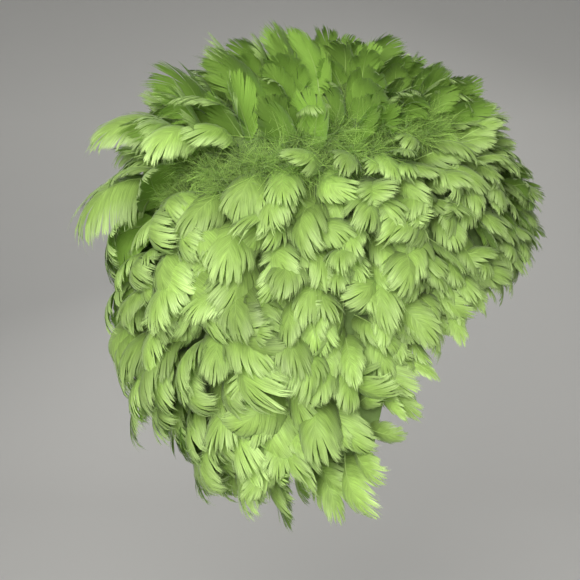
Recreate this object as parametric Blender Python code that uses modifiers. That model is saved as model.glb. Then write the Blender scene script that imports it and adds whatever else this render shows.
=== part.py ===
"""Bouffant feather hat: a stiff hood-shaped cap covered with rings of sewn-on feathers.

Metres, +Z up. The wearer faces -Y. The origin is the inside of the cap's top, where it sits on the head.
"""

import math
from collections import namedtuple

import bmesh
import bpy
from mathutils import Vector

# Cap: a hood of stiffened cloth, from the forehead over the ears to the nape
CAP_LENGTH = 0.249
CAP_HEIGHT = 0.2765
CAP_WIDTH = 0.182
CAP_WALL = 0.002
CAP_FRONT_TAPER = 0.08
CAP_JAW_DROP = 0.032
CAP_CHEEK_LIFT = 0.022
CAP_COLUMNS = 28

# Feathers: rings of them fused to a narrow band, which lies on the cap
FEATHER_LENGTH = 0.064
FEATHER_THICKNESS = 0.0012
FEATHER_CROWN = 0.003
FEATHER_LIFT = 0.0018
LENGTH_CHANGE = 0.05
BAND_WIDTH = 0.005
SEAT_GAP = 0.0005
FRONT_CROWDING = 0.26
BACK_GROWTH = 2.0

# Curled plumes: single long feathers that arch out of the parting
PLUME_LENGTH = 1.25 * FEATHER_LENGTH
PLUME_WIDTH = 0.024
PLUME_THICKNESS = 0.0014
PLUME_QUILL_WIDTH = 0.0026
PLUME_ROWS = 6
PLUME_SINK = 0.0006

# Each section is a tilted oval hoop of the cap, from the top down to the rim.
# Reaches are shares of CAP_LENGTH to the front and to the back of the top, drops are shares of
# CAP_HEIGHT below it, and half_width is a share of half CAP_WIDTH. The rim is cut back by
# CAP_CHEEK_LIFT at the cheeks, and behind them it reaches further out by CAP_JAW_DROP.
Section = namedtuple("Section", "front_reach front_drop back_reach back_drop half_width")
SECTIONS = (
    Section(0.000, 0.000, 0.000, 0.000, 0.000),
    Section(0.107, 0.008, 0.124, 0.006, 0.385),
    Section(0.222, 0.039, 0.266, 0.036, 0.680),
    Section(0.304, 0.083, 0.396, 0.115, 0.857),
    Section(0.367, 0.135, 0.483, 0.250, 0.945),
    Section(0.419, 0.193, 0.512, 0.414, 0.990),
    Section(0.454, 0.255, 0.497, 0.562, 1.000),
    Section(0.474, 0.318, 0.454, 0.688, 0.990),
    Section(0.484, 0.368, 0.384, 0.795, 0.956),
    Section(0.475, 0.412, 0.285, 0.898, 0.922),
    Section(0.457, 0.454, 0.145, 0.998, 0.885),
)
RIM = len(SECTIONS) - 1
JAW_WAY = Vector((0, -1, -1)).normalized()
JAW_PEAK = 0.75 * math.sqrt(3)

# Each ring of feathers: where its band lies, counted in sections from the top, how many feathers it
# has, their lengths at the front and back as shares of FEATHER_LENGTH, and the angles in degrees
# between a feather and the way down the cap: 0 lies along the cap, 90 stands off it, 180 points up.
Ring = namedtuple(
    "Ring", "name band_at feathers front back start_front start_back end_front end_back"
)
CROWN_RINGS = (
    Ring("crown_ring_1", 0.95, 7, 0.40, 0.44, 100, 100, 80, 76),
    Ring("crown_ring_2", 1.85, 10, 0.42, 0.60, 104, 106, 70, 66),
    Ring("crown_ring_3", 2.75, 12, 0.44, 0.76, 106, 112, 50, 64),
    Ring("crown_ring_4", 3.60, 13, 0.48, 0.74, 106, 118, 32, 66),
)
HANGING_RINGS = (
    Ring("hanging_ring_1", 4.40, 15, 0.56, 0.98, 98, 82, 40, -20),
    Ring("hanging_ring_2", 5.20, 16, 0.60, 1.02, 78, 84, 18, -22),
    Ring("hanging_ring_3", 6.05, 16, 0.62, 1.06, 66, 84, 18, -20),
    Ring("hanging_ring_4", 6.90, 16, 0.60, 1.08, 61, 84, 18, -14),
    Ring("hanging_ring_5", 7.75, 16, 0.54, 1.08, 60, 86, 18, -6),
    Ring("hanging_ring_6", 8.60, 16, 0.47, 1.04, 58, 86, 18, 0),
    Ring("rim_ring", 9.45, 15, 0.38, 0.80, 54, 80, 18, 6),
)
TUFT = Ring("crown_tuft", 0.40, 5, 0.38, 0.40, 92, 92, 88, 88)

# The four lines along each feather of a ring: how far across it, how long as a share of the feather,
# and how much of FEATHER_CROWN it stands up by at its end.
Line = namedtuple("Line", "across reach crown")
LINES = (
    Line(0.00, 0.64, 0.0),
    Line(0.20, 0.93, 0.4),
    Line(0.50, 1.00, 1.0),
    Line(0.80, 0.93, 0.4),
)

# Plumes: the angle round the cap from the front, the place of the quill's foot, the length and width
# as shares of PLUME_LENGTH and PLUME_WIDTH, and the turn angles
Plume = namedtuple("Plume", "around foot_at length width start_angle end_angle")
PLUMES = (
    Plume(188, 3.68, 0.84, 0.85, 112, 0),
    Plume(196, 4.25, 0.92, 1.15, 98, -30),
    Plume(226, 3.68, 0.80, 0.90, 100, 6),
    Plume(160, 3.68, 0.90, 0.90, 102, -4),
    Plume(132, 4.30, 0.80, 1.00, 86, -8),
)

LIME = (0.34, 0.56, 0.13, 1.0)
LIME_SHADE = (0.20, 0.36, 0.06, 1.0)
CAP_GREEN = (0.26, 0.40, 0.12, 1.0)
WELD = 1e-6
SLOPE_STEP = 1e-3


def clear_scene():
    for obj in list(bpy.data.objects):
        bpy.data.objects.remove(obj, do_unlink=True)


def make_collection(name):
    collection = bpy.data.collections.new(name)
    bpy.context.scene.collection.children.link(collection)
    return collection


def make_material(name, colour, roughness):
    material = bpy.data.materials.new(name)
    material.use_nodes = True
    shader = material.node_tree.nodes["Principled BSDF"]
    shader.inputs["Base Color"].default_value = colour
    shader.inputs["Roughness"].default_value = roughness
    shader.inputs["Metallic"].default_value = 0.0
    return material


def smooth_between(before, start, end, after, share):
    """Catmull-Rom value between start and end."""
    slope_in = 0.5 * (end - before)
    slope_out = 0.5 * (after - start)
    square, cube = share * share, share * share * share
    return (
        (2 * cube - 3 * square + 1) * start
        + (cube - 2 * square + share) * slope_in
        + (3 * square - 2 * cube) * end
        + (cube - square) * slope_out
    )


def section_at(place):
    """The cap's hoop at a place counted in sections from the top."""
    index = min(max(int(math.floor(place)), 0), RIM - 1)
    share = place - index
    start, end = SECTIONS[index], SECTIONS[index + 1]
    after = SECTIONS[min(index + 2, RIM)]
    if index == 0:
        mirrored = SECTIONS[1]
        before = Section(-mirrored.front_reach, mirrored.front_drop, -mirrored.back_reach,
                         mirrored.back_drop, -mirrored.half_width)
    else:
        before = SECTIONS[index - 1]
    return Section(*(smooth_between(*values, share) for values in zip(before, start, end, after)))


def cap_point(around, place):
    """A point of the cap's outer face. around is 0 at the front and a quarter turn at +X."""
    hoop = section_at(place)
    front = Vector((0, -hoop.front_reach * CAP_LENGTH, -hoop.front_drop * CAP_HEIGHT))
    back = Vector((0, hoop.back_reach * CAP_LENGTH, -hoop.back_drop * CAP_HEIGHT))
    half_width = hoop.half_width * CAP_WIDTH / 2
    taper = 1 - CAP_FRONT_TAPER * math.cos(around)
    point = (front + back) / 2 + (front - back) / 2 * math.cos(around)
    point.x += half_width * taper * math.sin(around)
    point.z += CAP_WALL
    side = abs(math.sin(around))
    jaw = CAP_JAW_DROP * (side * (1 - math.cos(around)) / JAW_PEAK) ** 3
    cheek = CAP_CHEEK_LIFT * side ** 8
    return point + JAW_WAY * (jaw - cheek) * (place / RIM) ** 3


def cap_slope(around, place):
    """The way down the cap and the way straight out of it, at a point of its outer face."""
    near = max(place - SLOPE_STEP, SLOPE_STEP)
    down = (cap_point(around, near + 2 * SLOPE_STEP) - cap_point(around, near)).normalized()
    along = cap_point(around + SLOPE_STEP, place) - cap_point(around - SLOPE_STEP, place)
    out = down.cross(along).normalized()
    return down, out


def seat(around, place):
    """A point just off the cap."""
    if place == 0:
        return cap_point(around, place) + Vector((0, 0, SEAT_GAP))
    return cap_point(around, place) + cap_slope(around, place)[1] * SEAT_GAP


def place_after(around, place, distance):
    """The place this far down the cap, or up it if the distance is negative."""
    step = cap_point(around, place + SLOPE_STEP) - cap_point(around, place - SLOPE_STEP)
    return place + distance * 2 * SLOPE_STEP / step.length


def angle_round(turn_share):
    """The angle round the cap, for a share of the whole turn. Feathers crowd toward the front."""
    turn = 2 * math.pi * turn_share
    return turn - FRONT_CROWDING * math.sin(turn)


def front_to_back(around, front, back):
    """A value that changes smoothly from the front to the back."""
    share = ((1 - math.cos(around)) / 2) ** BACK_GROWTH
    return front + (back - front) * share


def bent_reach(length, start_angle, end_angle, share):
    """How far along and off the cap a feather reaches, when it turns evenly from start to end."""
    start = math.radians(start_angle)
    turned = math.radians(end_angle - start_angle) * share
    walked = length * share
    if abs(turned) < 1e-6:
        return walked * math.cos(start), walked * math.sin(start)
    radius = walked / turned
    along = radius * (math.sin(start + turned) - math.sin(start))
    off = radius * (math.cos(start) - math.cos(start + turned))
    return along, off


def thick_sheet(name, columns, rows, place_vertex, thickness, offset, material, collection):
    """A grid moved into place, its seams welded, and thickened: offset -1 inward, 1 outward."""
    mesh = bpy.data.meshes.new(name)
    grid = bmesh.new()
    bmesh.ops.create_grid(grid, x_segments=columns, y_segments=rows, size=0.5)
    for vertex in grid.verts:
        column = round((vertex.co.x + 0.5) * columns)
        row = round((vertex.co.y + 0.5) * rows)
        vertex.co = place_vertex(column, row)
    bmesh.ops.remove_doubles(grid, verts=grid.verts, dist=WELD)
    bmesh.ops.reverse_faces(grid, faces=grid.faces)
    grid.to_mesh(mesh)
    grid.free()
    obj = bpy.data.objects.new(name, mesh)
    collection.objects.link(obj)
    obj.data.materials.append(material)
    wall = obj.modifiers.new("wall", "SOLIDIFY")
    wall.thickness = thickness
    wall.offset = offset
    obj.data.shade_smooth()
    return obj


def make_cap(material, collection):
    """A hoop of vertices lies under each band, so that the band sits close on the cap's facets."""
    bands = [ring.band_at for ring in (*CROWN_RINGS, *HANGING_RINGS)]
    places = sorted({0.0, TUFT.band_at, RIM, *bands})

    def place_vertex(column, row):
        return cap_point(2 * math.pi * column / CAP_COLUMNS, places[row])

    thick_sheet("foundation_cap", CAP_COLUMNS, len(places) - 1, place_vertex,
                CAP_WALL, -1, material, collection)


def feather_point(ring, around, root_at, line, share, change):
    """A point along one line of a feather, at a share of that line's length."""
    down, out = cap_slope(around, root_at)
    length = FEATHER_LENGTH * front_to_back(around, ring.front, ring.back)
    length *= line.reach * (1 + LENGTH_CHANGE * change)
    start_angle = front_to_back(around, ring.start_front, ring.start_back)
    end_angle = front_to_back(around, ring.end_front, ring.end_back)
    along, off = bent_reach(length, start_angle, end_angle, share)
    off += (FEATHER_CROWN * line.crown + FEATHER_LIFT * change * line.reach) * share
    return seat(around, root_at) + down * along + out * off


def make_ring(ring, stagger, way, material, collection):
    """A band on the cap and the feathers fused to it. way is 1 down the cap and -1 up it."""

    def place_vertex(column, row):
        feather, part = divmod(column, len(LINES))
        line = LINES[part]
        across = line.across if row > 1 else part / len(LINES)
        around = angle_round((feather + across + stagger) / ring.feathers)
        if row == 0:
            return seat(around, ring.band_at)
        root_at = place_after(around, ring.band_at, way * BAND_WIDTH)
        if row == 1:
            return seat(around, root_at)
        change = 0
        if part:
            change = math.sin(2.4 * feather + 3.1 * ring.band_at)
        return feather_point(ring, around, root_at, line, (row - 1) / 2, change)

    thick_sheet(ring.name, ring.feathers * len(LINES), 3, place_vertex,
                FEATHER_THICKNESS, way, material, collection)


def make_tuft(material, collection):
    """The feathers at the very top: a small disc with petals standing up from its edge."""

    def place_vertex(column, row):
        feather, part = divmod(column, len(LINES))
        line = LINES[part]
        around = 2 * math.pi * (feather + line.across) / TUFT.feathers
        if row == 0:
            return seat(0, 0)
        if row == 1:
            return seat(around, TUFT.band_at)
        return feather_point(TUFT, around, TUFT.band_at, line, 1, 0)

    thick_sheet(TUFT.name, TUFT.feathers * len(LINES), 2, place_vertex,
                FEATHER_THICKNESS, 1, material, collection)


def make_plume(index, plume, material, collection):
    """One long feather, narrow at its quill and broad past the middle."""
    around = math.radians(plume.around)
    down, out = cap_slope(around, plume.foot_at)
    across = out.cross(down).normalized()
    root = seat(around, plume.foot_at) - out * PLUME_SINK
    length = PLUME_LENGTH * plume.length
    width = PLUME_WIDTH * plume.width

    def place_vertex(column, row):
        share = row / PLUME_ROWS
        along, off = bent_reach(length, plume.start_angle, plume.end_angle, share)
        swell = math.sin(math.pi * (share * 0.86 + 0.02)) ** 1.4
        half = (PLUME_QUILL_WIDTH + (width - PLUME_QUILL_WIDTH) * swell) / 2
        return root + down * along + out * off - across * half * (column - 1)

    thick_sheet(f"curled_plume_{index}", 2, PLUME_ROWS, place_vertex,
                PLUME_THICKNESS, 1, material, collection)


def main():
    clear_scene()
    collection = make_collection("feather_hat")
    cap_cloth = make_material("cap_cloth", CAP_GREEN, 0.9)
    hanging = make_material("feather_lime", LIME, 0.6)
    standing = make_material("feather_underside", LIME_SHADE, 0.7)
    make_cap(cap_cloth, collection)
    make_tuft(standing, collection)
    for index, ring in enumerate(CROWN_RINGS):
        make_ring(ring, 0.5 * (index % 2), -1, standing, collection)
    for index, ring in enumerate(HANGING_RINGS):
        make_ring(ring, 0.5 * (index % 2), 1, hanging, collection)
    for index, plume in enumerate(PLUMES, start=1):
        make_plume(index, plume, hanging, collection)


main()
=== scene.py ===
import math
from collections import namedtuple

import bpy
import numpy as np
from bpy.props import FloatProperty, FloatVectorProperty, IntProperty, PointerProperty
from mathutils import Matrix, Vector


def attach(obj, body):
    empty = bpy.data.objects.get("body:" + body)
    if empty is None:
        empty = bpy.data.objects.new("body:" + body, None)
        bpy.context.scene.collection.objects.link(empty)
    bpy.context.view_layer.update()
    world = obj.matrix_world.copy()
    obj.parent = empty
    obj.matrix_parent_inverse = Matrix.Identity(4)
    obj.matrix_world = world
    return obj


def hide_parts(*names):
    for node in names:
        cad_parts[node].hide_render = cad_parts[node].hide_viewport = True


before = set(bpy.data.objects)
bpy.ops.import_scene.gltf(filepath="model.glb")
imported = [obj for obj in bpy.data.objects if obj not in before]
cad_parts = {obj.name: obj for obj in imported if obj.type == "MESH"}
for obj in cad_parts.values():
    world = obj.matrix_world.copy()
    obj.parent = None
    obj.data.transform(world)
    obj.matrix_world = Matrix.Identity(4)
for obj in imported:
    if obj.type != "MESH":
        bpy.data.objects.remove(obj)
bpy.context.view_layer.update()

bl_info = {
    "name": "Feather Hat",
    "version": (1, 0, 0),
    "blender": (4, 5, 0),
    "location": "3D View > Sidebar > Feather Hat",
    "description": "Dresses a stiff hood-shaped cap with rings of curled lime-green feathers",
    "category": "Add Mesh",
}

BODY = "root"

# The cap: sizes in metres, and tilted oval hoops from the top down to the rim, as shares of them
CAP_LENGTH = 0.249
CAP_HEIGHT = 0.2765
CAP_WIDTH = 0.182
CAP_WALL = 0.002
CAP_FRONT_TAPER = 0.08
CAP_JAW_DROP = 0.032
CAP_CHEEK_LIFT = 0.022
JAW_PEAK = 0.75 * math.sqrt(3)
# front reach, front drop, back reach, back drop, half width
HOOPS = np.array((
    (0.000, 0.000, 0.000, 0.000, 0.000),
    (0.107, 0.008, 0.124, 0.006, 0.385),
    (0.222, 0.039, 0.266, 0.036, 0.680),
    (0.304, 0.083, 0.396, 0.115, 0.857),
    (0.367, 0.135, 0.483, 0.250, 0.945),
    (0.419, 0.193, 0.512, 0.414, 0.990),
    (0.454, 0.255, 0.497, 0.562, 1.000),
    (0.474, 0.318, 0.454, 0.688, 0.990),
    (0.484, 0.368, 0.384, 0.795, 0.956),
    (0.475, 0.412, 0.285, 0.898, 0.922),
    (0.457, 0.454, 0.145, 0.998, 0.885),
))
RIM = len(HOOPS) - 1
PADDED_HOOPS = np.vstack([HOOPS[1] * (-1, 1, -1, 1, -1), HOOPS, HOOPS[-1]])
# How feathers crowd at the front and grow to the back, and the step that slopes are read over
FRONT_CROWDING = 0.26
BACK_GROWTH = 1.4
SLOPE_STEP = 1e-3

# A ring: its solid, its place in hoops from the top, feathers round it and rows, their lengths at the
# front and back as shares, and the quill's degrees off the way down the cap at its foot and its end
Ring = namedtuple("Ring", "name at feathers rows front back start_front start_back end_front end_back")
CROWN = (
    Ring("crown_tuft", 0.30, 9, 1, 0.36, 0.36, 96, 96, 60, 60),
    Ring("crown_ring_1", 0.80, 15, 2, 0.37, 0.42, 98, 98, 56, 56),
    Ring("crown_ring_2", 1.70, 28, 2, 0.40, 0.54, 100, 102, 56, 56),
    Ring("crown_ring_3", 2.60, 40, 2, 0.43, 0.68, 104, 108, 46, 58),
    Ring("crown_ring_4", 3.45, 50, 2, 0.50, 0.75, 106, 118, 34, 64),
)
HANGING = (
    Ring("hanging_ring_1", 4.40, 54, 2, 0.56, 0.96, 98, 82, 40, -20),
    Ring("hanging_ring_2", 5.25, 58, 2, 0.60, 1.00, 78, 84, 18, -22),
    Ring("hanging_ring_3", 6.10, 60, 2, 0.62, 1.04, 66, 84, 18, -20),
    Ring("hanging_ring_4", 6.95, 64, 2, 0.60, 1.06, 61, 84, 18, -14),
    Ring("hanging_ring_5", 7.80, 64, 2, 0.54, 1.06, 60, 86, 18, -6),
    Ring("hanging_ring_6", 8.65, 62, 2, 0.47, 1.02, 58, 86, 18, 0),
    Ring("rim_ring", 9.50, 66, 1, 0.40, 0.80, 54, 80, 18, 6),
)
# Hoops between a ring's rows, and how far feathers stray off a row in hoops, and along it in feathers
ROW_STEP = 0.42
ROW_STRAY = 0.26
PLACE_STRAY = 0.4
# How far vanes stay off the cap, and the radius by which it curves away from a feather's foot
CLEARANCE = 0.0006
CAP_CURVE = 0.22
# The parting, in hoops: its place and half width, how far it comes down the sides and goes up the
# front, and how far off rows follow it
PARTING_AT = 3.95
PARTING_HALF_WIDTH = 0.5
PARTING_SIDE = 0.38
PARTING_FRONT = 0.45
PARTING_REACH = 1.1
# Lower crown rings: degrees that ends and feet stand up more at the sides, degrees that some curl
# over, the share of those and what the back adds to it, and which rings these are
CROWN_STANDS = 55
CROWN_LEANS = 14
CROWN_CURLS = 80
CURLED_SHARE = 0.05
CURLED_BACK = 0.30
LOWER_CROWN = (1.5, 3.0)
# Hanging rings: degrees that the upper ones lie down at the sides, which those are, degrees that every
# second feather starts lower, degrees of curl there and on the crown, and the share that hangs plumb
SIDE_LAYS = 26
UPPER_HANGING = (7.0, 4.5)
SECOND_LOWER = 10
HANGING_CURL = 26
CROWN_CURL = 10
PLUMB_SHARE = 0.6
# A foot's height off the cap, and the waves in which neighbours turn alike: size, number round the
# cap, change by the hoop, and offset
FOOT_HEIGHT = 0.0004
SWIRLS = ((0.40, 3, 2.1, 0), (0.24, 7, -1.3, 1))
# Bell-shaped spreads: length and width as shares, the quill's angles in degrees, others in radians
Stray = namedtuple("Stray", "turn lean length start end width sickle roll")
STRAY = Stray(0.48, 0.40, 0.14, 13, 24, 0.14, 0.15, 0.12)

# A plume: degrees round the cap, the foot's hoop, length and width as shares, the quill's angles, how
# late it bends, and degrees of roll
Plume = namedtuple("Plume", "around foot_at length width start end late roll")
PLUMES = (
    Plume(194, 3.50, 1.04, 1.25, 136, -10, 0.75, 48),
    Plume(197, 4.20, 0.95, 1.55, 124, -8, 0.70, 30),
    Plume(226, 3.68, 0.86, 1.20, 112, -20, 1.1, 30),
    Plume(160, 3.68, 0.90, 1.10, 106, -14, 1.2, -25),
    Plume(132, 4.30, 0.80, 1.10, 90, -12, 1.2, -25),
)

# Barbs: how far up the quill, their length as a share, and degrees off the quill at foot and tip
BARBS = np.array((
    (0.00, 0.26, 80, 30),
    (0.15, 0.45, 72, 14),
    (0.35, 0.54, 62, 6),
    (0.60, 0.50, 48, 1),
    (0.80, 0.43, 34, -3),
    (0.92, 0.36, 20, -4),
    (1.00, 0.33, 4, -2),
))
BARB_STOPS = np.array((0.0, 0.25, 0.5, 0.75, 0.9, 1.0))
# A quill's share of a feather's length, and how far its curve runs on under barbs that reach past it
QUILL_SHARE = 0.70
QUILL_OVERRUN = 1.25
QUILL_END = 0.98
QUILL_TAPER = 0.8
QUILL_STOPS = 7
QUILL_SIDES = 3
BEND_STEPS = 60

# A vane: clumps of barbs on a side, how far out they split, how uneven their ends are, the vane's
# hollow and waves, where barbs begin, how far up they hold together, the share of frayed feathers, and
# how far locks draw in
Look = namedtuple("Look", "clumps split ragged cup ruffle first zipped frayed drawn")
HANGING_LOOK = Look(34, 0.82, 0.07, 0.40, 0.012, 0.05, 0.36, 0.32, 0.62)
CROWN_LOOK = HANGING_LOOK._replace(cup=0.55, split=0.9, zipped=0.6, frayed=0.15, drawn=0.15)
PLUME_LOOK = HANGING_LOOK._replace(split=0.7, ragged=0.10, cup=0.32, zipped=0.7, frayed=0.0, drawn=0.1)
# Barb lines up a quill, clumps in a lock, the share that splits early, from where all are loose, the
# barbs' waves as size and number, and how far locks sway and curl
LINES = 80
LOCK = 5
EARLY_SHARE = 0.08
LOOSE_FROM = 0.85
WAVES = ((0.05, 19), (0.035, 43))
LOCK_SWAY = 0.055
LOCK_CURL = 0.07
# How much painted shade darkens feathers high up at the front, and the y and z over which that fades in
FRONT_PAINTED_SHADE = 2.2
FRONT_SHADE_Y = (-0.02, -0.10)
FRONT_SHADE_Z = (-0.17, -0.11)
# Down: strands in a tuft, half a strand's width, its height off the cap, its sag, and the hoops on the
# crown where every fourth tuft stands
STRANDS = 95
STRAND_HALF_WIDTH = 0.00021
DOWN_CLEARANCE = 0.001
DOWN_SAG = 0.12
CROWN_DOWN = (0.1, 2.8)
# A plume's barbs and quill against a plain feather's, and the hat's middle in y and z
PLUME_WIDTH = 0.66
PLUME_QUILL = 1.3
HAT_MIDDLE = (0.0324, -0.1454)
# Where each group of pieces begins its random numbers
CROWN_DRAWS, HANGING_DRAWS, PLUME_DRAWS, DOWN_DRAWS = 0, 20, 40, 60


# Sizes and colours a user would change


class FeatherSettings(bpy.types.PropertyGroup):
    feather_length: FloatProperty(
        name="Feather length", description="Full length of a feather",
        default=0.064, min=0.03, max=0.1, unit="LENGTH")
    plume_length: FloatProperty(
        name="Plume length", description="Full length of a curled plume",
        default=0.080, min=0.04, max=0.12, unit="LENGTH")
    quill_radius: FloatProperty(
        name="Quill radius", description="Radius of a quill at its foot",
        default=0.00065, min=0.0002, max=0.002, unit="LENGTH")
    tufts: IntProperty(
        name="Down tufts", description="Tufts of down in the parting and on the crown",
        default=440, min=0, max=800)
    down_length: FloatProperty(
        name="Down length", description="Length of a strand of down",
        default=0.020, min=0.005, max=0.04, unit="LENGTH")
    barb_clumps: IntProperty(
        name="Barb clumps", description="Clumps of barbs on each side of a quill",
        default=34, min=5, max=60)
    fullness: FloatProperty(
        name="Fullness", description="Number of feathers against the usual number",
        default=1.0, min=0.3, max=1.5, subtype="FACTOR")
    untidiness: FloatProperty(
        name="Untidiness", description="How far the feathers turn, lean and curl out of line",
        default=1.0, min=0.0, max=2.0, subtype="FACTOR")
    seed: IntProperty(
        name="Seed", description="Picks another arrangement of the same feathers", default=12)


class FeatherColours(bpy.types.PropertyGroup):
    face: FloatVectorProperty(
        name="Feather face", description="Satin outer face of a feather", subtype="COLOR",
        default=(0.37, 0.575, 0.125), min=0, max=1)
    tip: FloatVectorProperty(
        name="Feather tip", description="Paler ends of the barbs", subtype="COLOR",
        default=(0.57, 0.76, 0.31), min=0, max=1)
    under: FloatVectorProperty(
        name="Feather underside", description="Matt under face of a feather", subtype="COLOR",
        default=(0.235, 0.41, 0.062), min=0, max=1)
    quill: FloatVectorProperty(
        name="Quill", description="Quill down the middle of a feather", subtype="COLOR",
        default=(0.34, 0.52, 0.11), min=0, max=1)
    down: FloatVectorProperty(
        name="Down", description="Fluff of the parting", subtype="COLOR",
        default=(0.52, 0.78, 0.18), min=0, max=1)
    cloth: FloatVectorProperty(
        name="Cap cloth", description="Stiffened cloth of the cap", subtype="COLOR",
        default=(0.26, 0.40, 0.12), min=0, max=1)


class StageSettings(bpy.types.PropertyGroup):
    distance: FloatProperty(
        name="Camera distance", description="From the camera to the middle of the hat",
        default=0.75, min=0.3, max=3, unit="LENGTH")
    lens: FloatProperty(
        name="Focal length", description="Focal length of the camera", default=64.66, min=20,
        max=200, unit="CAMERA")
    floor: FloatProperty(
        name="Floor height", description="Height of the floor against the top of the cap",
        default=-0.50, min=-2, max=0, unit="LENGTH")
    backdrop: FloatVectorProperty(
        name="Backdrop", description="Colour of the floor and backdrop", subtype="COLOR",
        default=(0.66, 0.655, 0.635), min=0, max=1)
    key: FloatProperty(
        name="Key light", description="Power of the large soft light", default=22.0, min=0, max=500,
        unit="POWER")
    fill: FloatProperty(
        name="Fill light", description="Power of the weaker light in front", default=2.4,
        min=0, max=500, unit="POWER")


# The cap's outer face


def hoop_at(place):
    """The cap's hoops at places counted from the top, smoothly between the given ones."""
    index = np.clip(np.floor(place).astype(int), 0, RIM - 1)
    share = (place - index)[..., None]
    before, start, end, after = (PADDED_HOOPS[index + step] for step in range(4))
    slope_in, slope_out = (end - before) / 2, (after - start) / 2
    square, cube = share ** 2, share ** 3
    return ((2 * cube - 3 * square + 1) * start + (cube - 2 * square + share) * slope_in
            + (3 * square - 2 * cube) * end + (cube - square) * slope_out)


def cap_point(around, place):
    """Points of the cap's outer face. around is 0 at the front and a quarter turn at +X."""
    front_reach, front_drop, back_reach, back_drop, half_width = np.moveaxis(hoop_at(place), -1, 0)
    turn, side = np.cos(around), np.sin(around)
    x = half_width * CAP_WIDTH / 2 * (1 - CAP_FRONT_TAPER * turn) * side
    y = CAP_LENGTH / 2 * ((back_reach - front_reach) - (back_reach + front_reach) * turn)
    z = -CAP_HEIGHT / 2 * ((front_drop + back_drop) + (front_drop - back_drop) * turn)
    jaw = CAP_JAW_DROP * (np.abs(side) * (1 - turn) / JAW_PEAK) ** 3 - CAP_CHEEK_LIFT * side ** 8
    jaw = jaw * (place / RIM) ** 3 / math.sqrt(2)
    return np.stack([x, y - jaw, z + CAP_WALL - jaw], -1)


def unit(vectors):
    return vectors / np.linalg.norm(vectors, axis=-1, keepdims=True)


def cap_slope(around, place):
    """The ways down the cap, straight out of it and across, at points of its outer face."""
    near = np.maximum(place - SLOPE_STEP, SLOPE_STEP)
    down = unit(cap_point(around, near + 2 * SLOPE_STEP) - cap_point(around, near))
    along = cap_point(around + SLOPE_STEP, place) - cap_point(around - SLOPE_STEP, place)
    out = unit(np.cross(down, along))
    return down, out, np.cross(out, down)


def ramp(values, start, end):
    """0 before the start and 1 past the end, evenly in between."""
    return np.clip((values - start) / (end - start), 0, 1)


def parting_shift(around, place):
    """How far rows near the parting move down the sides and up the front, in hoops."""
    side, front = np.sin(around) ** 2, ((1 + np.cos(around)) / 2) ** 3
    near = np.exp(-((place - PARTING_AT) / PARTING_REACH) ** 2)
    return (PARTING_SIDE * side - PARTING_FRONT * front) * near


def front_to_back(around, front, back):
    """A value at each place round the cap, from those at the front and the back."""
    share = ((1 - np.cos(around)) / 2) ** BACK_GROWTH
    return front + (back - front) * share


# Where each feather stands and how it bends

# A feather's foot, the way out of the cap there, its own ways down, out and across, its length, its
# quill's angles, its width, how late it bends, its sideways curve and its roll
Stand = namedtuple("Stand", "root normal down out across length start end width tighten sickle roll")


def turn_about(first, second, angle):
    """Two vectors at right angles, turned in their own plane."""
    cos, sin = np.cos(angle)[:, None], np.sin(angle)[:, None]
    return first * cos + second * sin, second * cos - first * sin


def spread(random, count, size):
    """Bell-shaped random numbers with the far ends cut off."""
    return np.clip(random.normal(size=count), -1.9, 1.9) * size


def stand_feathers(around, place, length, start, end, width, tighten, droop, random, untidiness):
    """Feathers on the cap, each a little out of line, and drooping from the cap's own way down."""
    count = len(around)
    down, out, across = cap_slope(around, place)
    hang = unit(np.array((0.0, 0.0, -1.0)) + out * out[:, 2:])
    down = unit(down + (hang - down) * np.reshape(droop, (-1, 1)))
    across = np.cross(out, down)
    root = cap_point(around, place) + out * FOOT_HEIGHT
    normal = out
    swirl = sum(size * np.sin(waves * around + change * place + offset)
                for size, waves, change, offset in SWIRLS)
    turn = (swirl + spread(random, count, STRAY.turn)) * untidiness
    down, across = turn_about(down, across, turn)
    out, across = turn_about(out, across, spread(random, count, STRAY.lean * untidiness))
    length = length * (1 + spread(random, count, STRAY.length))
    start = np.radians(start + spread(random, count, STRAY.start * untidiness))
    end = np.radians(end + spread(random, count, STRAY.end * untidiness))
    width = width * (1 + spread(random, count, STRAY.width))
    sickle = spread(random, count, STRAY.sickle * untidiness)
    roll = spread(random, count, STRAY.roll * untidiness)
    return Stand(root, normal, down, out, across, length, start, end, width,
                 np.full(count, tighten), sickle, roll)


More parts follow.
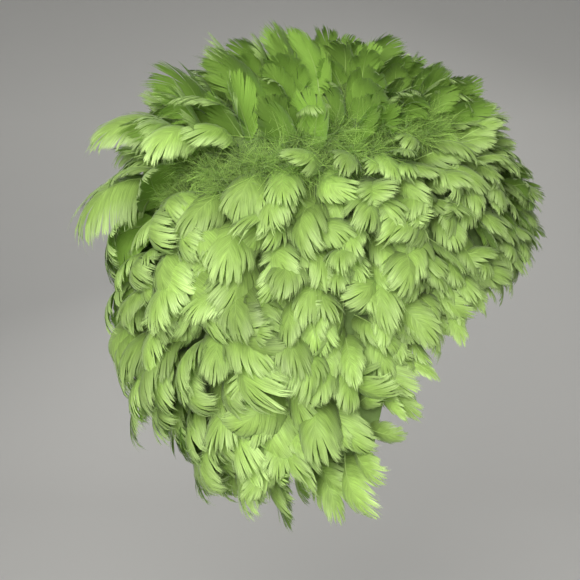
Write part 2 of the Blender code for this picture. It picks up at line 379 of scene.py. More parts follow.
def stand_ring(ring, rings, settings, random):
    """A ring's feathers, in staggered rows, with sizes that change smoothly to the next ring."""
    table = np.array([(each.at, *each[4:]) for each in rings])
    hanging = rings is HANGING
    parts = []
    for row in range(ring.rows):
        count = max(3, round(ring.feathers * settings.fullness))
        place = ring.at + ROW_STEP * (row - (ring.rows - 1) / 2)
        stray = random.uniform(-PLACE_STRAY, PLACE_STRAY, count)
        turn = 2 * math.pi * (np.arange(count) + 0.5 * row + stray) / count
        around = turn - FRONT_CROWDING * np.sin(turn)
        places = place + random.uniform(-ROW_STRAY, ROW_STRAY, count)
        moved = places + parting_shift(around, places)
        front, back, start_front, start_back, end_front, end_back = (
            np.interp(places, table[:, 0], table[:, column]) for column in range(1, 7))
        dip = (SECOND_LOWER if hanging else 0) * (np.arange(count) % 2)
        parts.append((
            around, moved,
            settings.feather_length * front_to_back(around, front, back),
            front_to_back(around, start_front, start_back) - dip,
            front_to_back(around, end_front, end_back),
        ))
    around, places, length, start, end = (np.concatenate(column) for column in zip(*parts))
    side, back = np.sin(around) ** 2, (1 - np.cos(around)) / 2
    if hanging:
        tighten, droop = 1.8, PLUMB_SHARE * np.clip((9.8 - places) / 3, 0.2, 1)
        width = (0.88 + 0.24 * back) * (1 - 0.18 * ramp(places, 8.5, 9.5))
        start = start - SIDE_LAYS * side * ramp(places, *UPPER_HANGING)
        curl = HANGING_CURL
    else:
        lower = ramp(places, *LOWER_CROWN)
        tighten, droop = 1.2, 0.0
        width = np.full(len(around), 1.20)
        length = length * (1 + 0.10 * side)
        start = start + CROWN_LEANS * side * lower
        curled = random.uniform(size=len(around)) < CURLED_SHARE + CURLED_BACK * back ** 2
        curl = CROWN_CURL - CROWN_STANDS * side * lower + CROWN_CURLS * lower * curled
    return stand_feathers(around, places, length, start, end - curl, width,
                          tighten, droop, random, settings.untidiness)


# The shape of a feather


def per_feather(values, more):
    """Values with one row a feather, given more axes to go with finer arrays."""
    return values[(slice(None),) + (None,) * more]


def on_quill(stand, walked):
    """Points at a distance along each bent quill, and the way that the quill's face looks there."""
    share = np.linspace(0, QUILL_OVERRUN, BEND_STEPS)
    angle = stand.start[:, None] + (stand.end - stand.start)[:, None] * share ** stand.tighten[:, None]
    step = stand.length[:, None] * (share[1] - share[0])
    middle = (angle[:, 1:] + angle[:, :-1]) / 2
    foot = np.zeros((len(stand.length), 1))
    along = np.concatenate([foot, np.cumsum(np.cos(middle) * step, axis=1)], axis=1)
    off = np.concatenate([foot, np.cumsum(np.sin(middle) * step, axis=1)], axis=1)
    more = walked.ndim - 1
    place = np.clip(walked / per_feather(step[:, 0], more), 0, BEND_STEPS - 1.001)
    index = place.astype(int)
    part = place - index
    feather = per_feather(np.arange(len(stand.length)), more)
    angle, along, off = (
        (table[feather, index] * (1 - part) + table[feather, index + 1] * part)[..., None]
        for table in (angle, along, off))
    down, out, root, across = (
        per_feather(values, more) for values in (stand.down, stand.out, stand.root, stand.across))
    sickle, length = per_feather(stand.sickle, more), per_feather(stand.length, more)
    side = sickle * walked * np.abs(walked) / length
    point = root + down * along + out * off + across * side[..., None]
    return point, out * np.cos(angle) - down * np.sin(angle)


def keep_off_cap(stand, points):
    """Points lifted clear of the cap, which curves away from each feather's foot."""
    normal = per_feather(stand.normal, points.ndim - 2)
    offset = points - per_feather(stand.root, points.ndim - 2)
    lift = np.sum(offset * normal, axis=-1, keepdims=True)
    flat = np.sum(offset ** 2, axis=-1, keepdims=True) - lift ** 2
    return points + normal * np.clip(CLEARANCE - flat / (2 * CAP_CURVE) - lift, 0, None)


# A vane's arrays run by feather, side of the quill, clump of barbs, stop along it, and its two edges
STOP = BARB_STOPS[None, None, None, :, None]
EDGE = np.array((-1.0, 1.0))[None, None, None, None, :]
SIDE = np.array((-1.0, 1.0))[None, :, None, None, None]


def clump_feet(count, look, random):
    """The middle and half the width of each clump's foot, as shares of the way up the quill."""
    gaps = random.uniform(0.35, 1.65, size=(count, 2, look.clumps))
    share = np.cumsum(gaps, axis=2) / gaps.sum(axis=2, keepdims=True)
    share = np.concatenate([np.zeros((count, 2, 1)), share], axis=2)
    foot = look.first + (1 - look.first) * (1 - np.clip(1 - share, 0, 1) ** 1.2)
    middle = ((foot[..., 1:] + foot[..., :-1]) / 2)[..., None, None]
    half = ((foot[..., 1:] - foot[..., :-1]) / 2)[..., None, None] * 1.08
    return middle, half


def split_clumps(middle, half, look, random):
    """Clumps' edges, which close in past the split; how far past it, how loose and how frayed."""
    early = random.uniform(size=middle.shape) < EARLY_SHARE
    loose = ramp(middle, look.zipped, LOOSE_FROM)
    frayed = random.uniform(size=(len(middle), 1, 1, 1, 1)) < look.frayed
    split = look.split + random.normal(size=middle.shape) * 0.06 - 0.35 * early - 0.20 * frayed
    split = np.clip(split, 0.3, 0.94)
    split = split + (0.96 - split) * (1 - loose)
    fall = np.clip((STOP - split) / (1 - split), 0, 1)
    at = middle + half * EDGE * (1 - (0.1 + 0.35 * loose) * fall ** 1.6)
    return at, fall, loose, frayed


def draw_into_locks(at, middle, lock, look, random):
    """Clumps drawn toward the middle of their lock, the more the nearer to their tips."""
    count, clumps = len(at), len(lock)
    starts = np.arange(0, clumps, LOCK)
    centre = np.add.reduceat(middle, starts, axis=2) / np.diff(np.append(starts, clumps))[:, None, None]
    drawn = look.drawn * random.uniform(0.0, 1.3, size=(count, 1, 1, 1, 1))
    drawn = drawn * random.uniform(0.5, 1.2, size=(count, 2, len(starts), 1, 1))[:, :, lock]
    at = at + (centre[:, :, lock] - at) * drawn * np.clip(STOP * 1.7 - 0.7, 0, 1) ** 1.4
    return np.clip(at, 0, 1.01)


def vane(stand, look, random):
    """Both vanes of every feather, as clumps of barbs that part into pointed fingers."""
    count = len(stand.length)
    shape = (count, 2, look.clumps, 1, 1)
    lock = np.arange(look.clumps) // LOCK
    middle, half = clump_feet(count, look, random)
    at, fall, loose, frayed = split_clumps(middle, half, look, random)
    at = draw_into_locks(at, middle, lock, look, random)
    length = per_feather(stand.length, 4)
    barb, foot_angle, tip_angle = (
        np.interp(at, BARBS[:, 0], BARBS[:, column]) for column in (1, 2, 3))
    barb = barb * length * per_feather(stand.width, 4)
    reach = STOP * (1 + random.normal(size=shape) * look.ragged * fall * (0.3 + 0.7 * loose))
    first, turning = np.radians(foot_angle), np.radians(tip_angle - foot_angle)
    angle = first + turning * reach
    along = barb / turning * (np.sin(angle) - np.sin(first))
    across = barb / turning * (np.cos(first) - np.cos(angle))
    phase = random.uniform(0, 2 * math.pi, size=(len(WAVES), count, 2, 1, 1, 1))
    wave = sum(size * np.sin(waves * at + offset) for (size, waves), offset in zip(WAVES, phase))
    lock_sway, lock_end = (
        random.normal(size=(count, 2, lock[-1] + 1))[:, :, lock][..., None, None] for _ in range(2))
    sway = (random.normal(size=shape) * look.ragged * 0.4 * fall ** 2 + wave * STOP ** 2
            + LOCK_SWAY * lock_sway * STOP ** 3) * barb
    along = along - sway * np.sin(angle)
    across = across + sway * np.cos(angle)
    point, face = on_quill(stand, at * length * QUILL_SHARE + along)
    bowl = look.cup * length * (1 + 0.2 * random.normal(size=(count, 2, 1, 1, 1)))
    bowl = np.maximum(bowl, 0.2 * length)
    offset = np.abs(across)
    sideways = bowl * np.sin(offset / bowl) * SIDE
    rise = -bowl * (1 - np.cos(offset / bowl))
    rise = rise + look.ruffle * length * np.sin(9 * at + phase[0]) * STOP ** 1.5
    curl = 0.06 + 0.02 * random.normal(size=shape)
    rise = rise - (curl + LOCK_CURL * lock_end) * barb * STOP ** 3
    twist = (0.12 + 0.15 * frayed) * random.normal(size=shape)
    rise = rise + twist * half * EDGE * length * QUILL_SHARE * np.minimum(fall * 3, 1)
    roll, across = per_feather(stand.roll, 5), per_feather(stand.across, 4)
    across, face = (across * np.cos(roll) - face * np.sin(roll),
                    face * np.cos(roll) + across * np.sin(roll))
    points = keep_off_cap(stand, point + across * sideways[..., None] + face * rise[..., None])
    line = at * LINES + SIDE * 41 + per_feather(np.arange(count), 4) * 17.3
    return points, at, np.broadcast_to(STOP, at.shape), line


def ribbon_faces(*shape):
    """Faces of ribbons, whose points run by stop and by edge in the last two axes."""
    index = np.arange(math.prod(shape)).reshape(shape)
    low, high = index[..., :-1, :], index[..., 1:, :]
    return np.stack([low[..., 0], low[..., 1], high[..., 1], high[..., 0]], -1)


def quill(stand, radius):
    """A thin quill with three sides under each vane, tapering to its end."""
    count = len(stand.length)
    stops = np.linspace(0, QUILL_END, QUILL_STOPS)
    walked = stops[None, :, None] * (stand.length * QUILL_SHARE)[:, None, None]
    walked = np.broadcast_to(walked, (count, QUILL_STOPS, QUILL_SIDES))
    point, face = on_quill(stand, walked)
    turn = 2 * math.pi * np.arange(QUILL_SIDES) / QUILL_SIDES + math.pi / 2
    thick = radius * (1 - QUILL_TAPER * stops)[None, :, None, None]
    across = stand.across[:, None, None, :]
    points = point + (across * np.cos(turn)[:, None] + face * np.sin(turn)[:, None]) * thick
    points = keep_off_cap(stand, points)
    index = np.arange(count * QUILL_STOPS * QUILL_SIDES).reshape(count, QUILL_STOPS, QUILL_SIDES)
    beside = np.roll(index, -1, axis=2)
    quads = np.stack([index[:, :-1], beside[:, :-1], beside[:, 1:], index[:, 1:]], -1).reshape(-1, 4)
    at = np.broadcast_to(stops[None, :, None], index.shape)
    return points, at, quads


def add_object(name, data):
    """A new object of the scene."""
    obj = bpy.data.objects.new(name, data)
    bpy.context.scene.collection.objects.link(obj)
    return obj


def mesh_from(name, points, quads, material_index, values, line):
    """An object from arrays, with the two attributes that the materials read."""
    mesh = bpy.data.meshes.new(name)
    mesh.vertices.add(len(points))
    mesh.vertices.foreach_set("co", points.astype(np.float32).ravel())
    mesh.loops.add(quads.size)
    mesh.loops.foreach_set("vertex_index", quads.astype(np.int32).ravel())
    mesh.polygons.add(len(quads))
    mesh.polygons.foreach_set("loop_start", np.arange(len(quads), dtype=np.int32) * 4)
    mesh.polygons.foreach_set("material_index", material_index.astype(np.int32))
    mesh.update(calc_edges=True)
    mesh.validate()
    mesh.shade_smooth()
    feather_map = mesh.attributes.new("feather_map", "FLOAT_VECTOR", "POINT")
    feather_map.data.foreach_set("vector", values.astype(np.float32).ravel())
    barb_line = mesh.attributes.new("barb_line", "FLOAT", "POINT")
    barb_line.data.foreach_set("value", line.astype(np.float32).ravel())
    return add_object(name, mesh)


def make_feathers(name, stand, look, radius, materials, random):
    """One joined mesh of many feathers."""
    points, at, reach, line = vane(stand, look, random)
    quads = ribbon_faces(*at.shape)
    quads[:, 0] = quads[:, 0, ..., ::-1]
    quads = quads.reshape(-1, 4)
    # Painted shade: feathers high up at the front are made darker through their tone
    front_shade = ramp(stand.root[:, 1], *FRONT_SHADE_Y) * ramp(stand.root[:, 2], *FRONT_SHADE_Z)
    tone = random.normal(size=len(stand.length)) - FRONT_PAINTED_SHADE * front_shade
    tone = np.broadcast_to(per_feather(tone, 4), at.shape)
    values = np.stack([at, reach, tone], -1).reshape(-1, 3)
    points = points.reshape(-1, 3)
    quill_points, quill_at, quill_quads = quill(stand, radius)
    quill_at = quill_at.ravel()
    zeros = np.zeros(len(quill_at))
    obj = mesh_from(
        name,
        np.concatenate([points, quill_points.reshape(-1, 3)]),
        np.concatenate([quads, quill_quads + len(points)]),
        np.repeat((0, 1), (len(quads), len(quill_quads))),
        np.concatenate([values, np.stack([quill_at, zeros, zeros], -1)]),
        np.concatenate([line.ravel(), quill_at * LINES]),
    )
    for material in materials:
        obj.data.materials.append(material)
    return obj


def make_down(name, around, place, length, random, material):
    """Tufts of loose strands, each a narrow ribbon that bends as it runs out."""
    count = len(around)
    down, out, across = cap_slope(around, place)
    root = cap_point(around, place)
    lean = random.normal(size=(count, 2)) * 0.35
    axis = unit(out + down * (lean[:, :1] + 0.1) + across * lean[:, 1:])
    length = length[:, None]
    height = (length * random.uniform(0.3, 1.1, size=(count, 1)))[..., None]
    foot = random.uniform(0.0, 0.8, size=(count, STRANDS, 1)) * height
    start = root[:, None] + axis[:, None] * foot
    way = unit(axis[:, None] * 0.8 + random.normal(size=(count, STRANDS, 3)) * 0.75)
    bend = random.normal(size=(count, STRANDS, 3)) * 0.45
    bend[..., 2] -= DOWN_SAG
    run = (length * random.uniform(0.45, 1.0, size=(count, STRANDS)))[..., None, None]
    stops = np.array((0.0, 0.5, 1.0))[:, None]
    path = start[:, :, None] + way[:, :, None] * run * stops + bend[:, :, None] * run * stops ** 2
    lift = np.sum((path - root[:, None, None]) * out[:, None, None], axis=-1, keepdims=True)
    path = path + out[:, None, None] * np.clip(DOWN_CLEARANCE - lift, 0, None)
    flat = unit(np.cross(way, random.normal(size=(count, STRANDS, 3))))[:, :, None]
    wide = STRAND_HALF_WIDTH * (1 - 0.7 * stops)
    points = np.stack([path - flat * wide, path + flat * wide], -2)
    quads = ribbon_faces(count, STRANDS, len(stops), 2).reshape(-1, 4)
    reach = np.broadcast_to(stops, points.shape[:-1])
    tone = random.normal(size=(count, 1, 1, 1)) * 1.6 + random.normal(size=(count, STRANDS, 1, 1))
    tone = np.broadcast_to(tone, reach.shape)
    values = np.stack([np.zeros(reach.shape), reach, tone], -1).reshape(-1, 3)
    obj = mesh_from(name, points.reshape(-1, 3), quads, np.zeros(len(quads)), values,
                    np.zeros(reach.size))
    obj.data.materials.append(material)
    return obj


# Materials


def set_inputs(tree, node, inputs):
    """Gives a node's inputs values, colours or sockets to join."""
    for key, value in inputs.items():
        socket = node.inputs[key]
        if isinstance(value, bpy.types.NodeSocket):
            tree.links.new(value, socket)
        elif isinstance(value, tuple) and len(value) == 3 and socket.type == "RGBA":
            socket.default_value = (*value, 1)
        else:
            socket.default_value = value


def add_node(tree, kind, inputs=None, **settings):
    """A node with its settings and inputs."""
    node = tree.nodes.new(kind)
    for key, value in settings.items():
        setattr(node, key, value)
    set_inputs(tree, node, inputs or {})
    return node


def maths(tree, operation, *values, clamp=False):
    """The result of a sum with values or sockets."""
    return add_node(tree, "ShaderNodeMath", dict(enumerate(values)), operation=operation,
                    use_clamp=clamp).outputs[0]


def map_range(tree, value, start, end, low=0.0, high=1.0):
    """A value that goes from low to high while another goes from start to end."""
    return add_node(tree, "ShaderNodeMapRange",
                    {0: value, 1: start, 2: end, 3: low, 4: high}).outputs[0]


def blend_colours(tree, share, first, second):
    """A mix of two colours, given as colours or sockets."""
    return add_node(tree, "ShaderNodeMix", {0: share, 6: first, 7: second},
                    data_type="RGBA").outputs[2]


def shaded(colour, share):
    """A colour made darker or lighter by a share."""
    return tuple(min(value * share, 1) for value in colour)


def halfway(first, second):
    """The colour halfway between two others."""
    return tuple((a + b) / 2 for a, b in zip(first, second))


def lit_colour(tree, colour, light):
    """A colour socket made darker or lighter by a value socket."""
    return add_node(tree, "ShaderNodeVectorMath", {0: colour, 3: light}, operation="SCALE").outputs[0]


def noise(tree, scale, detail, roughness=0.5, place=None):
    """A noise value, at the surface's own place or at given coordinates."""
    inputs = {"Scale": scale, "Detail": detail, "Roughness": roughness}
    if place:
        corner = add_node(tree, "ShaderNodeCombineXYZ", dict(enumerate(place)))
        inputs["Vector"] = corner.outputs[0]
    return add_node(tree, "ShaderNodeTexNoise", inputs).outputs[0]


def new_group(name, inputs, outputs):
    """An empty node group of values. inputs are names with defaults, outputs are names."""
    tree = bpy.data.node_groups.new(name, "ShaderNodeTree")
    for label, default in inputs:
        socket = tree.interface.new_socket(label, in_out="INPUT", socket_type="NodeSocketFloat")
        socket.default_value = default
    for label in outputs:
        tree.interface.new_socket(label, in_out="OUTPUT", socket_type="NodeSocketFloat")
    return tree, tree.nodes.new("NodeGroupInput").outputs, tree.nodes.new("NodeGroupOutput")


def barb_pattern(name):
    """Fine lines along the barbs, the broader clumps they lie in, and where loose ends still cover."""
    tree, given, made = new_group(
        name, (("Line", 0.0), ("Reach", 0.0), ("Fineness", 1.0), ("Fringe", 0.62)),
        ("Lines", "Clumps", "Height", "Cover"))
    fine = maths(tree, "MULTIPLY", given["Line"], given["Fineness"])
    broad = maths(tree, "MULTIPLY", fine, 0.16)
    finest = maths(tree, "MULTIPLY", fine, 2.2)
    run = maths(tree, "MULTIPLY", given["Reach"], 2.2)
    lines = map_range(tree, noise(tree, 1.0, 3.0, 0.6, (fine, run)), 0.32, 0.68)
    clumps = map_range(tree, noise(tree, 1.0, 1.5, 0.5, (broad, run, 4.0)), 0.32, 0.68)
    wisps = noise(tree, 1.0, 2.0, 0.6, (finest, run, 9.0))
    parted = map_range(tree, given["Reach"], given["Fringe"], 1.0, 0.2, 0.68)
    left = maths(tree, "SUBTRACT", wisps, parted)
    set_inputs(tree, made, {
        "Lines": lines, "Clumps": clumps,
        "Height": maths(tree, "ADD", lines, maths(tree, "MULTIPLY", clumps, 0.8)),
        "Cover": maths(tree, "MULTIPLY_ADD", left, 9.0, 0.5, clamp=True)})
    return tree


def weave_pattern(name):
    """Over-and-under threads, from a place counted in threads both ways."""
    tree, given, made = new_group(name, (("Across", 0.0), ("Along", 0.0)), ("Thread", "Height"))
    waves = [maths(tree, "SINE", maths(tree, "MULTIPLY", given[label], math.pi))
             for label in ("Across", "Along")]
    lifted = maths(tree, "ABSOLUTE", maths(tree, "MULTIPLY", *waves))
    uneven = noise(tree, 0.13, 4.0, place=(given["Across"], given["Along"]))
    set_inputs(tree, made, {
        "Thread": maths(tree, "MULTIPLY", lifted, uneven), "Height": lifted})
    return tree


def use_group(tree, name, build, inputs):
    """The outputs of a node group, which is built unless the file has it."""
    group = bpy.data.node_groups.get(name) or build(name)
    return add_node(tree, "ShaderNodeGroup", inputs, node_tree=group).outputs


def new_material(name):
    """A material with its Principled shader."""
    material = bpy.data.materials.new(name)
    material.use_nodes = True
    tree = material.node_tree
    return material, tree, tree.nodes["Principled BSDF"]


def feather_attributes(tree):
    """A point's place up the quill and along the barb, its tone and painted front shade, and its barb's
    line.
    """
    parts = add_node(tree, "ShaderNodeSeparateXYZ", {
        0: add_node(tree, "ShaderNodeAttribute", attribute_name="feather_map").outputs["Vector"]})
    line = add_node(tree, "ShaderNodeAttribute", attribute_name="barb_line").outputs["Fac"]
    return *parts.outputs, line


def own_place(tree):
    """The three coordinates of a point on the object itself."""
    return add_node(tree, "ShaderNodeSeparateXYZ", {
        0: add_node(tree, "ShaderNodeTexCoord").outputs["Object"]}).outputs


def bumped(tree, height, strength):
    """The face's normal with a fine relief, 0.4 mm deep at most."""
    return add_node(tree, "ShaderNodeBump", {
        "Height": height, "Strength": strength, "Distance": 0.0004}).outputs[0]


def let_light_through(tree, shader, colour, share):
    """Mixes the shader with light that comes through from behind."""
    through = add_node(tree, "ShaderNodeBsdfTranslucent", {"Color": colour})
    mixed = add_node(tree, "ShaderNodeMixShader", {
        0: share, 1: shader.outputs[0], 2: through.outputs[0]})
    set_inputs(tree, tree.nodes["Material Output"], {"Surface": mixed.outputs[0]})


def vane_material(name, face, tip, under, shine, painted_root_shade):
    """Satin-faced barbs with a matt underside, which let some light through, and painted shade at the
    foot.
    """
    material, tree, shader = new_material(name)
    at, reach, tone, line = feather_attributes(tree)
    pattern = use_group(tree, "Barb pattern", barb_pattern, {
        "Line": line, "Reach": reach, "Fineness": 1.0, "Fringe": 0.62})
    colour = blend_colours(tree, pattern["Clumps"], shaded(face, 0.78), face)
    edge = map_range(tree, reach, 0.35, 1.0, 0.0, 0.75)
    colour = blend_colours(tree, edge, colour, tip)
    # Painted shade: the vane darkens toward its foot, where it lies under the feathers above
    root = map_range(tree, at, 0.0, 0.55, 1.0, 0.0)
    colour = blend_colours(tree, root, colour, shaded(face, painted_root_shade))
    back = blend_colours(tree, maths(tree, "MULTIPLY", edge, 0.5), under, halfway(under, face))
    behind = add_node(tree, "ShaderNodeNewGeometry").outputs["Backfacing"]
    colour = blend_colours(tree, behind, colour, back)
    depth = maths(tree, "MULTIPLY_ADD", behind, -0.34, 0.50)
    light = maths(tree, "MULTIPLY_ADD", maths(tree, "SUBTRACT", pattern["Lines"], 0.5), depth, 1.0)
    # Each feather's tone is random, and painted shade lowers it on feathers high up at the front; it
    # scales the colour
    light = maths(tree, "MULTIPLY", light, maths(tree, "MULTIPLY_ADD", tone, 0.10, 1.0))
    colour = lit_colour(tree, colour, light)
    rough = maths(tree, "MULTIPLY_ADD", pattern["Lines"], -0.18, shine + 0.12)
    set_inputs(tree, shader, {
        "Base Color": colour,
        "Roughness": maths(tree, "MULTIPLY_ADD", behind, 0.25, rough, clamp=True),
        "Normal": bumped(tree, pattern["Height"], 0.35),
        "Specular IOR Level": 0.35, "Sheen Weight": 0.12, "Sheen Roughness": 0.4,
        "Alpha": pattern["Cover"]})
    let_light_through(tree, shader, colour, maths(tree, "MULTIPLY", pattern["Cover"], 0.12))
    return material


def quill_material(name, colour):
    """A smooth horny quill, paler toward its foot."""
    material, tree, shader = new_material(name)
    at = feather_attributes(tree)[0]
    grain = noise(tree, 900.0, 2.0)
    paler = maths(tree, "MULTIPLY", maths(tree, "SUBTRACT", 1.0, at), 0.15)
    toned = blend_colours(tree, paler, colour, halfway((1.0, 1.0, 1.0), colour))
    set_inputs(tree, shader, {
        "Base Color": lit_colour(tree, toned, maths(tree, "MULTIPLY_ADD", grain, 0.3, 0.85)),
        "Roughness": maths(tree, "MULTIPLY_ADD", grain, 0.2, 0.3)})
    return material


def down_material(name, colour):
    """Soft fluff, with painted shade at its foot, that lets light through."""
    material, tree, shader = new_material(name)
    reach, tone = feather_attributes(tree)[1:3]
    # Painted shade: the strands darken toward their foot, down in the tuft
    toned = blend_colours(tree, reach, shaded(colour, 0.5), colour)
    toned = lit_colour(tree, toned, maths(tree, "MULTIPLY_ADD", tone, 0.1, 1.0))
    set_inputs(tree, shader, {"Base Color": toned, "Roughness": 0.8, "Sheen Weight": 0.3})
    let_light_through(tree, shader, toned, 0.4)
    return material


def cloth_material(name, colour):
    """Matt woven cloth, with threads that run round the cap and down it."""
    material, tree, shader = new_material(name)
    place = own_place(tree)
    around = maths(tree, "ARCTAN2", place[0], place[1])
    weave = use_group(tree, "Plain weave", weave_pattern, {
        "Across": maths(tree, "MULTIPLY", around, 130.0),
        "Along": maths(tree, "MULTIPLY", place[2], 1300.0)})
    thread = maths(tree, "MULTIPLY", weave["Thread"], 1.6, clamp=True)
    set_inputs(tree, shader, {
        "Base Color": blend_colours(tree, thread, shaded(colour, 0.5), colour),
        "Roughness": maths(tree, "MULTIPLY_ADD", weave["Thread"], -0.2, 0.95),
        "Normal": bumped(tree, weave["Height"], 0.5), "Specular IOR Level": 0.2})
    return material


def backdrop_material(name, colour):
    """Matt backdrop paint with a faint mottle, and painted shade that darkens it high up."""
    material, tree, shader = new_material(name)
    toned = blend_colours(tree, noise(tree, 1.1, 2.0), shaded(colour, 0.97), shaded(colour, 1.03))
    # Painted shade: the wall darkens toward the top, where less light falls
    shade = map_range(tree, own_place(tree)[2], 0.25, 0.6, 0.0, 0.35)
    toned = blend_colours(tree, shade, toned, shaded(colour, 0.5))
    set_inputs(tree, shader, {"Base Color": toned, "Roughness": 0.95, "Specular IOR Level": 0.1})
    return material


# Operators


def kept_material(name, build, *values):
    """The material of this name, which is built unless the file has it."""
    return bpy.data.materials.get(name) or build(name, *values)


def feather_materials(colours, crown=False):
    """Vane and quill, or for the crown a vane darkened by painted shade that is paler only at its edge.
    """
    face, tip, under = tuple(colours.face), tuple(colours.tip), tuple(colours.under)
    name, painted_root_shade = "feather_vane", 0.34
    # For the crown, painted shade darkens the face halfway to the underside, and the painted shade at
    # the foot is lighter
    if crown:
        name, painted_root_shade = "feather_vane_crown", 0.60
        face = halfway(face, under)
    return (kept_material(name, vane_material, face, tip, under, 0.42, painted_root_shade),
            kept_material("feather_quill", quill_material, tuple(colours.quill)))


def finish_piece(piece, slot, *nodes):
    """The piece rides with the hat, and stands for its solids."""
    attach(piece, BODY)
    if nodes:
        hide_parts(*nodes)


def draws(settings, number):
    """Random numbers that are the same each run."""
    return np.random.default_rng(settings.seed * 100 + number)


def dress_rings(context, rings, look, first_draws, slot):
    """One piece of feathers for each ring."""
    settings = context.scene.feather_settings
    materials = feather_materials(context.scene.feather_colours, crown=rings is CROWN)
    look = look._replace(clumps=settings.barb_clumps)
    for index, ring in enumerate(rings):
        random = draws(settings, first_draws + index)
        stand = stand_ring(ring, rings, settings, random)
        piece = make_feathers(
            f"feathers_{ring.name}", stand, look, settings.quill_radius, materials, random)
        finish_piece(piece, slot, ring.name)


class HAT_OT_cap_cloth(bpy.types.Operator):
    """Finish the cap in stiffened cloth"""
    bl_idname = "feather_hat.cap_cloth"
    bl_label = "Cap Cloth"
    bl_options = {"REGISTER", "UNDO"}

    def execute(self, context):
        colours = context.scene.feather_colours
        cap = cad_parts["foundation_cap"]
        cloth = cloth_material("cap_weave", tuple(colours.cloth))
        if not cap.material_slots:
            cap.data.materials.append(cloth)
        for slot in cap.material_slots:
            slot.material = cloth
        return {"FINISHED"}


class HAT_OT_crown_feathers(bpy.types.Operator):
    """Stand rings of feathers on the crown"""
    bl_idname = "feather_hat.crown_feathers"
    bl_label = "Crown Feathers"
    bl_options = {"REGISTER", "UNDO"}

    def execute(self, context):
        dress_rings(context, CROWN, CROWN_LOOK, CROWN_DRAWS, "feather_underside")
        return {"FINISHED"}


class HAT_OT_hanging_feathers(bpy.types.Operator):
    """Hang rings of feathers round the sides and back"""
    bl_idname = "feather_hat.hanging_feathers"
    bl_label = "Hanging Feathers"
    bl_options = {"REGISTER", "UNDO"}

    def execute(self, context):
        dress_rings(context, HANGING, HANGING_LOOK, HANGING_DRAWS, "feather_lime")
        return {"FINISHED"}


class HAT_OT_curled_plumes(bpy.types.Operator):
    """Let single long plumes arch out of the parting"""
    bl_idname = "feather_hat.curled_plumes"
    bl_label = "Curled Plumes"
    bl_options = {"REGISTER", "UNDO"}

    def execute(self, context):
        settings = context.scene.feather_settings
        materials = feather_materials(context.scene.feather_colours)
        look = PLUME_LOOK._replace(clumps=settings.barb_clumps)
        for index, plume in enumerate(PLUMES, start=1):
            random = draws(settings, PLUME_DRAWS + index)
            values = [np.array([float(value)]) for value in (
                math.radians(plume.around), plume.foot_at, plume.length * settings.plume_length,
                plume.start, plume.end, plume.width * PLUME_WIDTH)]
            stand = stand_feathers(*values, plume.late, 0.0, random, 0.0)
            stand = stand._replace(roll=np.radians([float(plume.roll)]))
            radius = settings.quill_radius * PLUME_QUILL
            piece = make_feathers(f"plume_{index}", stand, look, radius, materials, random)
            finish_piece(piece, "feather_lime", f"curled_plume_{index}")
        return {"FINISHED"}


class HAT_OT_parting_down(bpy.types.Operator):
    """Fill the parting below the crown with down"""
    bl_idname = "feather_hat.parting_down"
    bl_label = "Parting Down"
    bl_options = {"REGISTER", "UNDO"}

    def execute(self, context):
        settings = context.scene.feather_settings
        random = draws(settings, DOWN_DRAWS)
        count = settings.tufts
        turn = 2 * math.pi * (np.arange(count) + random.uniform(0, 1, count)) / max(count, 1)
        around = turn - FRONT_CROWDING * np.sin(turn)
        place = PARTING_AT + random.uniform(-PARTING_HALF_WIDTH, PARTING_HALF_WIDTH, count)
        place = place + parting_shift(around, place)
        place[::4] = random.uniform(*CROWN_DOWN, len(place[::4]))
        colour = tuple(context.scene.feather_colours.down)
        material = kept_material("feather_down", down_material, colour)
        share = np.where(place < PARTING_AT - 1, 0.4, 0.45 + 0.55 * np.sin(around) ** 2)
        piece = make_down("parting_down", around, place, settings.down_length * share, random, material)
        finish_piece(piece, "feather_underside")
        return {"FINISHED"}


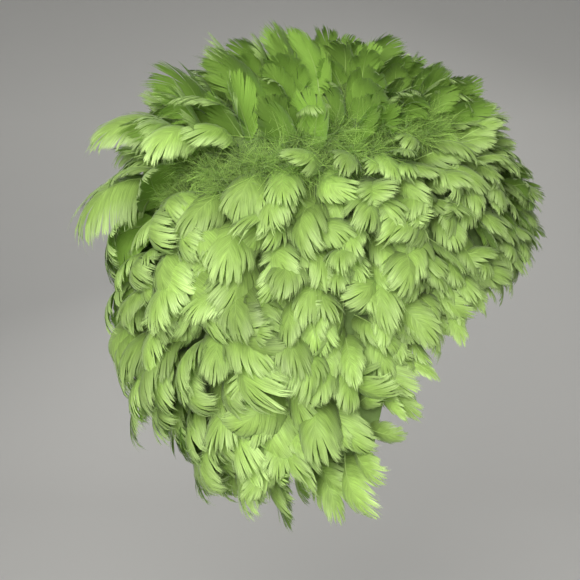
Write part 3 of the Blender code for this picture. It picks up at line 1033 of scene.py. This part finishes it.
class HAT_OT_stage(bpy.types.Operator):
    """Set the backdrop, the soft lights and the camera"""
    bl_idname = "feather_hat.stage"
    bl_label = "Stage"
    bl_options = {"REGISTER", "UNDO"}

    def execute(self, context):
        stage = context.scene.hat_stage
        self.make_backdrop(stage)
        self.make_lights(stage)
        self.make_camera(stage)
        return {"FINISHED"}

    def make_backdrop(self, stage):
        """A floor that sweeps up into a wall behind the hat."""
        front, sweep, wall, height, half_width, steps = -3.0, 0.7, 1.7, 3.0, 3.5, 12
        profile = [(front, 0.0), (wall - sweep, 0.0)]
        for step in range(1, steps + 1):
            turn = math.pi / 2 * step / steps
            profile.append((wall - sweep + sweep * math.sin(turn), sweep * (1 - math.cos(turn))))
        profile.append((wall, height))
        vertices = [(x, y, stage.floor + z) for x, z in profile for y in (-half_width, half_width)]
        faces = [(2 * i, 2 * i + 1, 2 * i + 3, 2 * i + 2) for i in range(len(profile) - 1)]
        mesh = bpy.data.meshes.new("backdrop")
        mesh.from_pydata(vertices, [], faces)
        mesh.shade_smooth()
        mesh.materials.append(backdrop_material("backdrop_paint", tuple(stage.backdrop)))
        add_object("backdrop", mesh)

    def make_lights(self, stage):
        """A large soft key light, a weak fill, weaker floor and back lights, and a pale world."""
        # name, place, point that it faces, size and power
        lights = (
            ("key_light", (-1.3, 0.28, 0.22), (0.0, 0.0, -0.18), 0.8, stage.key),
            ("fill_light", (-0.8, -1.3, 0.1), (0.0, 0.0, -0.15), 1.2, stage.fill),
            ("floor_light", (0.85, -0.50, 0.35), (0.92, -0.15, -0.5), 1.0, stage.fill * 0.85),
            ("back_light", (1.25, 0.45, 0.55), (0.0, 0.0, -0.12), 1.0, stage.fill * 1.5),
        )
        for name, place, target, size, power in lights:
            lamp = bpy.data.lights.new(name, "AREA")
            lamp.size = size
            lamp.energy = power
            lamp.color = (1.0, 0.985, 0.96)
            obj = add_object(name, lamp)
            obj.location = place
            obj.rotation_euler = (Vector(target) - Vector(place)).to_track_quat("-Z", "Y").to_euler()
        world = bpy.data.worlds.new("studio")
        world.use_nodes = True
        background = world.node_tree.nodes["Background"]
        background.inputs["Color"].default_value = (0.95, 0.98, 1.0, 1.0)
        background.inputs["Strength"].default_value = 0.185
        bpy.context.scene.world = world

    def make_camera(self, stage):
        """A level camera on the -X side, square to the side of the hat."""
        camera = bpy.data.cameras.new("camera")
        camera.lens = stage.lens
        camera.sensor_width = 36
        camera.clip_start = 0.01
        obj = add_object("camera", camera)
        obj.location = (-stage.distance, *HAT_MIDDLE)
        obj.rotation_euler = (math.pi / 2, 0, -math.pi / 2)
        bpy.context.scene.camera = obj
        bpy.context.scene.view_settings.view_transform = "Standard"


class HAT_PT_panel(bpy.types.Panel):
    """Sizes, colours and steps of the feather hat"""
    bl_idname = "HAT_PT_panel"
    bl_label = "Feather Hat"
    bl_space_type = "VIEW_3D"
    bl_region_type = "UI"
    bl_category = "Feather Hat"

    def draw(self, context):
        layout = self.layout
        for group in (context.scene.feather_settings, context.scene.feather_colours,
                      context.scene.hat_stage):
            column = layout.column(align=True)
            for name in group.__annotations__:
                column.prop(group, name)
        for operator in OPERATORS:
            layout.operator(operator.bl_idname)


OPERATORS = (HAT_OT_cap_cloth, HAT_OT_crown_feathers, HAT_OT_hanging_feathers,
             HAT_OT_curled_plumes, HAT_OT_parting_down, HAT_OT_stage)
CLASSES = (FeatherSettings, FeatherColours, StageSettings, *OPERATORS, HAT_PT_panel)


def register():
    for kind in CLASSES:
        bpy.utils.register_class(kind)
    bpy.types.Scene.feather_settings = PointerProperty(type=FeatherSettings)
    bpy.types.Scene.feather_colours = PointerProperty(type=FeatherColours)
    bpy.types.Scene.hat_stage = PointerProperty(type=StageSettings)


def unregister():
    del bpy.types.Scene.hat_stage
    del bpy.types.Scene.feather_colours
    del bpy.types.Scene.feather_settings
    for kind in reversed(CLASSES):
        bpy.utils.unregister_class(kind)


def main():
    register()
    bpy.ops.feather_hat.cap_cloth()
    bpy.ops.feather_hat.crown_feathers()
    bpy.ops.feather_hat.hanging_feathers()
    bpy.ops.feather_hat.curled_plumes()
    bpy.ops.feather_hat.parting_down()
    bpy.ops.feather_hat.stage()


if __name__ == "__main__":
    main()
